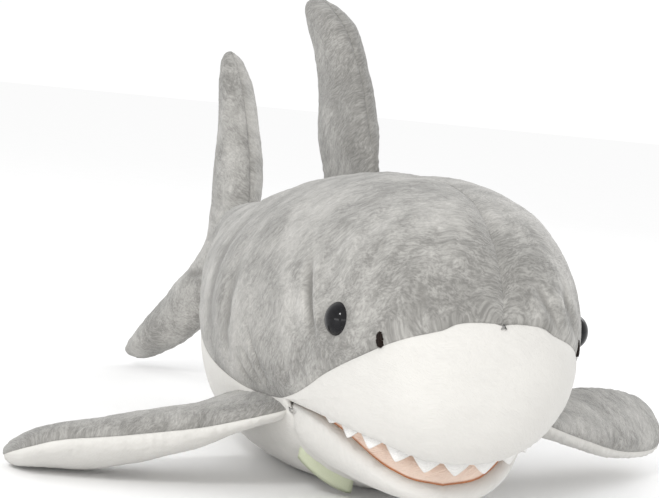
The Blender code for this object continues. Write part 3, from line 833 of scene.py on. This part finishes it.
def pectoral_rows(side):
    sign = -1 if side == "right" else 1
    droop = PECTORAL_DROOP[side]
    hinge = Vector((sign * PECTORAL_HINGE[0], *PECTORAL_HINGE[1:]))
    chord = Vector((sign * PECTORAL_CHORD[0], *PECTORAL_CHORD[1:]))
    yaw = PECTORAL_YAW[side]
    out = Vector((sign * cos(droop) * cos(yaw), cos(droop) * sin(yaw), sin(droop)))
    up = Vector((-sign * sin(droop), 0, cos(droop)))
    rows = []
    for distance, sweep, half_chord, half_thick in PECTORAL:
        twist = PECTORAL_TWIST[side] * min(max(distance / TWIST_END, 0), 1)
        turned_chord = chord + Vector((0, 0, twist))
        sag = PECTORAL_SAG[side] * sin(pi * min(max(distance / SAG_END, 0), 1))
        centre = hinge + distance * out + sweep * chord - Vector((0, 0, sag))
        rows.append((centre, turned_chord, up, half_chord, half_thick))
    return rows


def fin(name, sides, cloths, rows, parent, start, end, seed, edges, folds=(), shade=0.0):
    """Two sewn panels of a fin. The first also stands for the stuffing, and each has its own cloth."""
    for k, (side, (material, slot)) in enumerate(zip(sides, cloths)):
        grid = fin_grid(rows, 0.85, k * pi, (k + 1) * pi, snap(61))
        half_way = grid.shape[0] // 2
        middle = grid[half_way, grid.shape[1] // 2]
        bulge = middle - (grid[half_way, 0] + grid[half_way, -1]) / 2
        outward = 1 if normals(grid)[half_way, grid.shape[1] // 2] @ bulge > 0 else -1
        moved, values = plush_surface(grid, outward, edges, seed + k, seam_depth=0.6, seam_width=1.4,
                                      pucker=0.35, lumps=0.6, folds=folds, floor=0.5)
        calm = np.clip(lengths(grid, 1)[:, -1] / CALM_WIDTH, 0, 1)
        moved = grid + (moved - grid) * calm[:, None, None]
        # shade darkens the fin's whole colour through its brushed patches: painted shade, given to the dorsal
        # fin.
        values["brush"] = np.clip(brush_mask(moved + 60 * k) + shade, 0, 1)
        piece = skin(f"{name}_{side}_skin", moved, FIN_THICKNESS, material, values, outward)
        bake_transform(piece)
        nodes = [f"{name}_{side}_panel"] + [name + "_stuffing"] * (k == 0)
        stands_for(nodes)


def fin_pieces(grey, white):
    grey_cloth, white_cloth = (grey, "grey_plush"), (white, "white_plush")
    edges = {"first_column": 1, "last_column": 1, "last_row": 1}
    for side, sign in (("right", -1), ("left", 1)):
        fin(side + "_pectoral", ("top", "bottom"), (grey_cloth, white_cloth), pectoral_rows(side), "torso",
            (sign * 0.052, -0.04, 0.028), (sign * 0.074, -0.04, 0.028), 100, edges)
    both = ("right", "left"), (grey_cloth, grey_cloth)
    rows = [((x, y, z), (0, 1, slope), (-1, 0, 0), a, b) for x, y, z, slope, a, b in DORSAL]
    # The dorsal fin gets painted shade.
    fin("dorsal", *both, rows, "torso", (0, 0.0265, 0.108), (0, 0.0265, 0.126), 120, edges, shade=0.3)
    folds = [([(-12, 300, 74), (-12, 316, 70), (-10, 334, 72)], 1.6, 3.0),
             ([(-10, 306, 88), (-11, 318, 84), (-9, 332, 88)], 1.2, 2.6),
             ([(-12, 304, 58), (-15, 320, 52), (-14, 338, 50)], 1.3, 2.8)]
    edges = {"first_column": 1, "last_column": 1, "first_row": 1, "last_row": 1}
    fin("caudal", *both, CAUDAL, "tail", (0, 0.158, 0.063), (0, 0.176, 0.063), 130, edges, folds)


# ---- face and trimmings ----
def upper_lip_line(inset):
    """The inside of the upper lip in plan, with its height, right corner to left corner."""
    curve = resample(edge_on_body(UPPER_LIP, 5), 600)
    inward = inward_of(curve)
    return curve + inset * inward


def upper_teeth(felt):
    """One felt strip cut into points, hanging inside the upper lip."""
    count = snap(TEETH * 24 + 1)
    share = np.linspace(0, 1, count)
    front = resample(upper_lip_line(TEETH_INSET), count)
    inward = inward_of(front)
    phase = (share * TEETH) % 1
    point = 1 - np.sqrt((2 * phase - 1) ** 2 + 0.012)
    size = np.clip((62 - front[:, 1]) / 24, 0.12, 1)
    drop = TOOTH_SHORTEST + TOOTH_GROWTH * np.clip(point, 0, 1) ** 0.95 * size
    rows = snap(13)
    grid = np.zeros((rows, count, 3))
    for k, f in enumerate(np.linspace(0, 1, rows)):
        grid[k] = front
        grid[k, :, 2] = front[:, 2] + TEETH_RAISE + 1.8 - f * (drop + 1.8)
        grid[k] += (0.5 * sin(pi * f) * np.clip(point, 0, 1))[:, None] * -inward
    fuzz = noise(grid.reshape(-1, 3), 1.6, 200).reshape(grid.shape[:2])
    grid += 0.08 * fuzz[:, :, None] * inward[None]
    values = {"nap": np.dstack([lengths(grid, 0), lengths(grid, 1), fuzz * 0]),
              "seam": np.zeros(grid.shape[:2]), "fold": np.zeros(grid.shape[:2])}
    teeth = skin("teeth_strip", grid, LINING_THICKNESS, felt, values, -1)
    rides(teeth, "torso", "upper_teeth_strip")


def palate(mouth):
    columns = snap(161)
    edge = resample(upper_lip_line(PALATE_INSET), columns, crowded(columns, 0.3))
    share = crowded(snap(49), 0.4)
    roof = ruled(edge, cross_line(46, 75.0, 36.4, columns), share[:, None])
    roof[:, :, 2] += 0.6 + 1.2 * np.sin(pi * share)[:, None]
    moved, values = plush_surface(roof, -1, {}, 210, lumps=0.25, pile=0.4, pucker=0, seam_depth=0)
    values["brush"] = brush_mask(moved)
    values["shade_band"] = np.zeros(moved.shape[:2])
    roof_lining = skin("mouth_lining_top", moved, LINING_THICKNESS, mouth, values, -1)
    rides(roof_lining, "torso", "mouth_lining_upper")


def turned(name, profile, point, direction, segments, material):
    """A closed piece turned round a direction; the profile's ends lie on the axis."""
    turn = direction.to_track_quat("Z", "Y")
    points = [point + turn @ Vector((0, 0, profile[0][1]))]
    angles = np.linspace(0, 2 * pi, segments, endpoint=False)
    for r, h in profile[1:-1]:
        points += [point + turn @ Vector((r * cos(a), r * sin(a), h)) for a in angles]
    points.append(point + turn @ Vector((0, 0, profile[-1][1])))
    rings = len(profile) - 2
    faces = [(0, 1 + (j + 1) % segments, 1 + j) for j in range(segments)]
    faces += ring_faces(1, rings, segments)
    last = len(points) - 1
    base = 1 + (rings - 1) * segments
    faces += [(base + j, base + (j + 1) % segments, last) for j in range(segments)]
    return mesh_object(name, [tuple(p) for p in points], faces, material)


def face_pieces(plastic, thread):
    for side, name in ((-1, "right"), (1, "left")):
        point, normal = body_normal(*EYE_AT, side)
        point = point + EYE_LIFT * normal
        dome = [(0, -2.2), (3.0, -2.2), (EYE_RADIUS - 0.6, -1.6), (EYE_RADIUS, -0.6)]
        dome += [(EYE_RADIUS * cos(a), EYE_HEIGHT * sin(a)) for a in np.radians(np.linspace(2, 86, 22))]
        dome += [(0, EYE_HEIGHT)]
        eye = turned(name + "_eye_dome", dome, point, normal, 64, plastic)
        rides(eye, "torso", name + "_eye")
        point, normal = body_normal(*NOSTRIL_AT, side)
        stitch = satin_stitch(name + "_nostril_stitch", point, normal, thread)
        rides(stitch, "torso", name + "_nostril_stitching")


def satin_stitch(name, point, normal, material):
    """A short bar of embroidery: threads laid side by side over a padded oval."""
    up = (Vector((0, 0, 1)) - normal * normal.z).normalized()
    across = normal.cross(up).normalized()
    source = np.random.RandomState(5)
    points, faces = [], []
    strands = 13
    ring = 8
    for k in range(strands):
        f = (k / (strands - 1)) * 2 - 1
        centre = point + up * (f * NOSTRIL_HALF_HEIGHT)
        half = NOSTRIL_HALF_WIDTH * (1 - 0.75 * f * f) ** 0.5 + source.uniform(-0.15, 0.15)
        tilt = source.uniform(-0.14, 0.14) + 0.25
        knots = np.linspace(-1, 1, 9)
        base = len(points)
        for q in knots:
            lift = 0.2 + 0.55 * (1 - q * q) * (1 - 0.4 * f * f) - 0.9 * (abs(q) > 0.9)
            middle = centre + across * (q * half) + up * (q * half * tilt) + normal * lift
            for a in np.linspace(0, 2 * pi, ring, endpoint=False):
                points.append(middle + THREAD_RADIUS * (up * cos(a) + normal * sin(a)))
        faces += ring_faces(base, len(knots), ring, flip=True)
        faces.append(tuple(base + j for j in range(ring)))
        faces.append(tuple(base + (len(knots) - 1) * ring + ring - 1 - j for j in range(ring)))
    return mesh_object(name, [tuple(p) for p in points], faces, material)


def label_piece(tape):
    """A blank tape folded in two and sewn into the throat seam."""
    rows, columns = snap(41), snap(49)
    x = np.linspace(TAPE_LEFT, TAPE_RIGHT, columns)
    width, middle, half = section(79.0)
    top = middle - half * (1 - np.abs(x / width) ** ROUNDNESS) ** (1 / ROUNDNESS)
    grid = np.zeros((rows, columns, 3))
    for k, f in enumerate(np.linspace(0, 1, rows)):
        out = abs(2 * f - 1)
        fold = 1 - out
        layer = (0.55 if f > 0.5 else -0.55) * (1 - fold**6)
        grid[k, :, 0] = x + 0.5 * fold
        grid[k, :, 1] = TAPE_FROM_NOSE + 3.2 * fold ** 1.2 + layer + 0.3 * np.sin(x / 3.5) * fold
        grid[k, :, 2] = np.maximum(top + 1.0 - TAPE_DROP * fold, 0.9)
    values = {"nap": np.dstack([lengths(grid, 0), lengths(grid, 1), np.zeros((rows, columns))])}
    label = skin("care_tape", grid, TAPE_THICKNESS, tape, values, 1)
    rides(label, "torso", "sewn_in_label")


# ---- materials ----
def feed(tree, node, inputs):
    """Sets a node's inputs to values, or links them to other nodes' outputs."""
    for name, value in inputs.items():
        if isinstance(value, bpy.types.NodeSocket):
            tree.links.new(value, node.inputs[name])
        else:
            node.inputs[name].default_value = value


def add_node(tree, kind, inputs, **fields):
    node = tree.nodes.new("ShaderNode" + kind)
    for field, value in fields.items():
        setattr(node, field, value)
    feed(tree, node, inputs)
    return node


def new_material(name):
    made = bpy.data.materials.new(name)
    made.use_nodes = True
    return made, made.node_tree, made.node_tree.nodes["Principled BSDF"]


def point_values(tree, name, output="Fac"):
    """The numbers or vectors that add_values gave the object's points."""
    return add_node(tree, "Attribute", {}, attribute_name=name).outputs[output]


def object_place(tree):
    return add_node(tree, "TexCoord", {}).outputs["Object"]


def noise_node(tree, vector, scale, detail=2.0, roughness=0.5, distortion=0.0):
    inputs = {"Vector": vector, "Scale": scale, "Detail": detail, "Roughness": roughness}
    return add_node(tree, "TexNoise", {**inputs, "Distortion": distortion}).outputs["Fac"]


def wave_node(tree, vector, scale, distortion=0.0, direction="X"):
    inputs = {"Vector": vector, "Scale": scale, "Distortion": distortion}
    return add_node(tree, "TexWave", inputs, bands_direction=direction).outputs["Fac"]


def stretch(tree, vector, scale, turn=0.0):
    """Coordinates turned by an angle and then scaled, so that noise is drawn out into streaks."""
    inputs = {"Vector": vector, "Rotation": (0, 0, turn), "Scale": tuple(1 / s for s in scale)}
    return add_node(tree, "Mapping", inputs, vector_type="TEXTURE").outputs["Vector"]


def math_node(tree, operation, a, b):
    node = add_node(tree, "Math", {}, operation=operation)
    feed(tree, node, dict(enumerate((a, b))))
    return node.outputs[0]


def times(tree, a, b):
    return math_node(tree, "MULTIPLY", a, b)


def plus(tree, a, b):
    return math_node(tree, "ADD", a, b)


def rest_of(tree, a):
    return math_node(tree, "SUBTRACT", 1.0, a)


def vector_node(tree, operation, inputs):
    node = add_node(tree, "VectorMath", {}, operation=operation)
    feed(tree, node, inputs)
    return node.outputs["Vector"]


def ramp(tree, value, low, high):
    inputs = {"Value": value, "From Min": low, "From Max": high}
    return add_node(tree, "MapRange", inputs, interpolation_type="SMOOTHSTEP").outputs["Result"]


def mix(tree, factor, a, b):
    a, b = ((*v, 1) if isinstance(v, tuple) else v for v in (a, b))
    return add_node(tree, "Mix", {"Factor": factor, "A": a, "B": b},
                    data_type="RGBA", clamp_factor=True).outputs["Result"]


def bump(tree, height, distance, strength):
    inputs = {"Height": height, "Distance": distance, "Strength": strength}
    return add_node(tree, "Bump", inputs).outputs["Normal"]


def wavering_nap(tree):
    """Place along and across the pile, bent a little so that streaks waver."""
    nap = point_values(tree, "nap", "Vector")
    wobble = add_node(tree, "TexNoise", {"Vector": nap, "Scale": 0.11, "Detail": 2.0}).outputs["Color"]
    centred = vector_node(tree, "SUBTRACT", {0: wobble, 1: (0.5, 0.5, 0.5)})
    shift = vector_node(tree, "SCALE", {0: centred, "Scale": 1.6})
    return vector_node(tree, "ADD", {0: nap, 1: shift})


def plush_material(name, dark, base, light, contrast, sheen, seam_and_shade_tint, streaks=0.6, relief=0.75, shade_band=None):
    """Short pile: strands drawn out along the nap, tufts, brushed patches, darker seams, painted shade in
    folds and round the eyes, and, where a band colour is given, a painted shade band.
    """
    made, tree, shader = new_material(name)
    flow = wavering_nap(tree)
    strands = noise_node(tree, stretch(tree, flow, (0.42, 1.7, 1), NAP_TURN), 1.0, 3.0, 0.62)
    locks = noise_node(tree, stretch(tree, flow, (0.11, 0.5, 1), NAP_TURN), 1.0, 3.0, 0.6)
    hairs = noise_node(tree, stretch(tree, flow, (0.8, 4.2, 1), NAP_TURN), 1.0, 2.0, 0.6)
    tufts = noise_node(tree, flow, 0.42, 2.0, 0.55)
    lines = ramp(tree, strands, 0.36, 0.62)
    fine = ramp(tree, hairs, 0.3, 0.7)
    clumps = ramp(tree, tufts, 0.32, 0.68)
    patch = ramp(tree, point_values(tree, "brush"), 0.12, 1.0)
    swathes = ramp(tree, locks, 0.4, 0.66)
    swept = times(tree, swathes, plus(tree, times(tree, patch, 0.7), 0.2))
    colour = mix(tree, times(tree, plus(tree, patch, swept), streaks), light, base)
    deep = times(tree, rest_of(tree, lines), contrast)
    colour = mix(tree, times(tree, deep, plus(tree, times(tree, patch, 0.9), 0.35)), colour, dark)
    colour = mix(tree, times(tree, rest_of(tree, fine), contrast * 0.45), colour, dark)
    colour = mix(tree, times(tree, rest_of(tree, clumps), contrast * 0.35), colour, dark)
    # Darker seams, and the painted shade ring round each eye that eye_dimple keeps in the seam values.
    colour = mix(tree, times(tree, point_values(tree, "seam"), 0.3), colour, seam_and_shade_tint)
    # Painted shade: the deeper a point lies in a fold, the more its colour goes to the tint.
    colour = mix(tree, times(tree, point_values(tree, "fold"), 0.85), colour, seam_and_shade_tint)
    # Painted shade: where the values say, the colour goes to the darker band colour.
    if shade_band is not None:
        stripe = mix(tree, lines, tuple(c * 0.8 for c in shade_band), shade_band)
        colour = mix(tree, point_values(tree, "shade_band"), colour, stripe)
    height = plus(tree, times(tree, strands, 0.6), times(tree, hairs, 0.3))
    height = plus(tree, height, times(tree, tufts, 0.35))
    feed(tree, shader, {
        "Base Color": colour,
        "Normal": bump(tree, height, 0.0011, relief),
        "Roughness": plus(tree, times(tree, lines, -0.08), 0.95),
        "Specular IOR Level": 0.15,
        "Sheen Weight": sheen,
        "Sheen Roughness": 0.45,
    })
    return made


def felt_material():
    made, tree, shader = new_material("felt_white")
    nap = point_values(tree, "nap", "Vector")
    fibres = noise_node(tree, nap, 1.6, 4.0, 0.7, 0.8)
    fine = noise_node(tree, stretch(tree, nap, (3.0, 1.2, 1)), 1.5, 3.0, 0.65, 1.2)
    feed(tree, shader, {
        "Base Color": mix(tree, ramp(tree, fibres, 0.35, 0.7), (0.74, 0.73, 0.71), (0.9, 0.89, 0.87)),
        "Normal": bump(tree, plus(tree, fibres, fine), 0.0005, 0.5),
        "Roughness": plus(tree, times(tree, fine, 0.1), 0.85),
        "Sheen Weight": 0.3,
    })
    return made


def plastic_material(name, colour, low, high, scale, shine):
    """Moulded plastic with a faint grain; low and high are the ends of its roughness."""
    made, tree, shader = new_material(name)
    grain = noise_node(tree, object_place(tree), scale, 3.0, 0.6)
    spread = add_node(tree, "MapRange", {"Value": grain, "To Min": low, "To Max": high})
    paler = tuple(min(c * 1.5 + 0.006, 1) for c in colour)
    feed(tree, shader, {
        "Base Color": mix(tree, ramp(tree, grain, 0.3, 0.75), colour, paler),
        "Normal": bump(tree, grain, 0.00005, 0.15),
        "Roughness": spread.outputs["Result"],
        "Specular IOR Level": shine,
    })
    return made


def thread_material():
    made, tree, shader = new_material("nostril_thread")
    vector = object_place(tree)
    twist = wave_node(tree, vector, 900.0, 3.0)
    fluff = noise_node(tree, vector, 1500.0, 2.0)
    feed(tree, shader, {
        "Base Color": mix(tree, twist, (0.006, 0.004, 0.003), (0.022, 0.013, 0.01)),
        "Normal": bump(tree, plus(tree, twist, fluff), 0.00012, 0.6),
        "Roughness": ramp(tree, fluff, -0.6, 1.2),
        "Specular IOR Level": 0.15,
    })
    return made


def tape_material():
    made, tree, shader = new_material("label_tape")
    nap = point_values(tree, "nap", "Vector")
    weave = times(tree, wave_node(tree, nap, 1.1), wave_node(tree, nap, 1.1, direction="Y"))
    blotch = noise_node(tree, nap, 0.4, 3.0)
    colour = mix(tree, weave, (0.56, 0.6, 0.42), (0.72, 0.76, 0.58))
    feed(tree, shader, {
        "Base Color": mix(tree, times(tree, blotch, 0.3), colour, (0.78, 0.8, 0.68)),
        "Normal": bump(tree, weave, 0.0002, 0.4),
        "Roughness": ramp(tree, blotch, -1.0, 1.0),
    })
    return made


def floor_material():
    made, tree, shader = new_material("floor")
    paper = noise_node(tree, object_place(tree), 40.0, 3.0)
    feed(tree, shader, {
        "Base Color": mix(tree, paper, (0.93, 0.93, 0.93), (0.96, 0.96, 0.96)),
        "Roughness": 1.0,
        "Specular IOR Level": 0.0,
    })
    return made


# ---- studio ----
FLOOR_HALF_SIDE = 9
FLOOR_Z = -0.0003
WORLD_STRENGTH = 1.02
LIGHTS_AIM_AT = Vector((0, 0, 0.06))
# name, place, size, power, tint
SOFTBOXES = [
    ("key", (-0.75, -0.9, 0.95), (0.6, 0.5), 0.3, (1.0, 0.985, 0.96)),
    ("fill", (-0.15, -1.5, 0.16), (1.2, 0.3), 2.2, (1.0, 0.99, 0.97)),
    ("low_side", (-1.3, -0.75, 0.14), (0.9, 0.25), 2.2, (1.0, 0.995, 0.98)),
    ("rim", (0.9, 0.5, 0.8), (0.5, 0.5), 2.0, (0.97, 0.98, 1.0)),
    ("glint", (-0.82, -0.86, 0.95), (0.22, 0.24), 5.5, (1.0, 1.0, 1.0)),
]
CAMERA_AIMS_AT = Vector((-0.027, -0.0275, 0.088))
CAMERA_DISTANCE = 0.7
CAMERA_AZIMUTH, CAMERA_RISE, CAMERA_ROLL = radians(-21), radians(5), radians(5.8)
CAMERA_LENS, CAMERA_SENSOR = 101.3, 36


def white_room(scene):
    side = FLOOR_HALF_SIDE
    corners = [(-side, -side), (side, -side), (side, side), (-side, side)]
    mesh = bpy.data.meshes.new("floor")
    mesh.from_pydata([(x, y, FLOOR_Z) for x, y in corners], [], [(0, 1, 2, 3)])
    floor = bpy.data.objects.new("floor", mesh)
    floor.data.materials.append(floor_material())
    scene.collection.objects.link(floor)
    world = bpy.data.worlds.new("studio")
    world.use_nodes = True
    world.node_tree.nodes["Background"].inputs["Color"].default_value = (1, 1, 1, 1)
    world.node_tree.nodes["Background"].inputs["Strength"].default_value = WORLD_STRENGTH
    scene.world = world


def softbox(scene, name, location, size, power, tint):
    light = bpy.data.lights.new(name, "AREA")
    light.shape = "RECTANGLE"
    light.size, light.size_y = size
    light.energy = power
    light.color = tint
    lamp = bpy.data.objects.new(name, light)
    scene.collection.objects.link(lamp)
    lamp.location = location
    aim = LIGHTS_AIM_AT - Vector(location)
    lamp.rotation_mode = "QUATERNION"
    lamp.rotation_quaternion = aim.to_track_quat("-Z", "Y")


def photo_camera(scene):
    flat = cos(CAMERA_RISE)
    back = Vector((sin(CAMERA_AZIMUTH) * flat, -cos(CAMERA_AZIMUTH) * flat, sin(CAMERA_RISE)))
    right = Vector((cos(CAMERA_AZIMUTH), sin(CAMERA_AZIMUTH), 0))
    up = back.cross(right)
    tilted_right = cos(CAMERA_ROLL) * right + sin(CAMERA_ROLL) * up
    tilted_up = cos(CAMERA_ROLL) * up - sin(CAMERA_ROLL) * right
    data = bpy.data.cameras.new("camera")
    data.lens = CAMERA_LENS
    data.sensor_width = CAMERA_SENSOR
    data.sensor_fit = "HORIZONTAL"
    data.clip_start, data.clip_end = 0.01, 60
    camera = bpy.data.objects.new("camera", data)
    scene.collection.objects.link(camera)
    turn = Matrix((tilted_right, tilted_up, back)).transposed()
    camera.matrix_world = Matrix.Translation(CAMERA_AIMS_AT + CAMERA_DISTANCE * back) @ turn.to_4x4()
    bpy.context.scene.camera = camera


def studio():
    scene = bpy.context.scene
    white_room(scene)
    for row in SOFTBOXES:
        softbox(scene, *row)
    photo_camera(scene)
    scene.view_settings.view_transform = "Standard"
    scene.view_settings.look = "None"


GREY_PLUSH = {"dark": (0.14, 0.136, 0.128), "base": (0.31, 0.303, 0.285), "light": (0.57, 0.557, 0.528),
              "contrast": 0.5, "sheen": 0.35, "seam_and_shade_tint": (0.22, 0.214, 0.2), "streaks": 0.85}
WHITE_PLUSH = {"dark": (0.54, 0.528, 0.5), "base": (0.63, 0.617, 0.59), "light": (0.66, 0.647, 0.618),
               "contrast": 0.14, "sheen": 0.25, "seam_and_shade_tint": (0.68, 0.665, 0.63), "relief": 0.4}
# The mouth's band colour is painted shade along the lower lip.
MOUTH_PLUSH = {"dark": (0.85, 0.62, 0.5), "base": (0.95, 0.77, 0.66), "light": (0.96, 0.82, 0.72),
               "contrast": 0.2, "sheen": 0.2, "seam_and_shade_tint": (0.62, 0.36, 0.25), "shade_band": (0.58, 0.23, 0.1)}
EYE_BLACK = {"colour": (0.003, 0.003, 0.004), "low": 0.02, "high": 0.05, "scale": 300.0, "shine": 0.22}
WASHER_PLASTIC = {"colour": (0.6, 0.6, 0.58), "low": 0.35, "high": 0.55, "scale": 700.0, "shine": 0.5}


def main():
    studio()
    grey = plush_material("plush_grey", **GREY_PLUSH)
    white = plush_material("plush_white", **WHITE_PLUSH)
    mouth = plush_material("mouth_plush", **MOUTH_PLUSH)
    plastic = plastic_material("eye_black", **EYE_BLACK)
    washer = plastic_material("washer_plastic", **WASHER_PLASTIC)
    back_skins(grey)
    belly_skin(white)
    snout_skin(white)
    jaw_pieces(white, mouth)
    upper_teeth(felt_material())
    palate(mouth)
    fin_pieces(grey, white)
    face_pieces(plastic, thread_material())
    label_piece(tape_material())
    for name in ("right_eye_washer", "left_eye_washer"):
        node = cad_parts[name]
        node.data.materials.clear()
        node.data.materials.append(washer)


main()
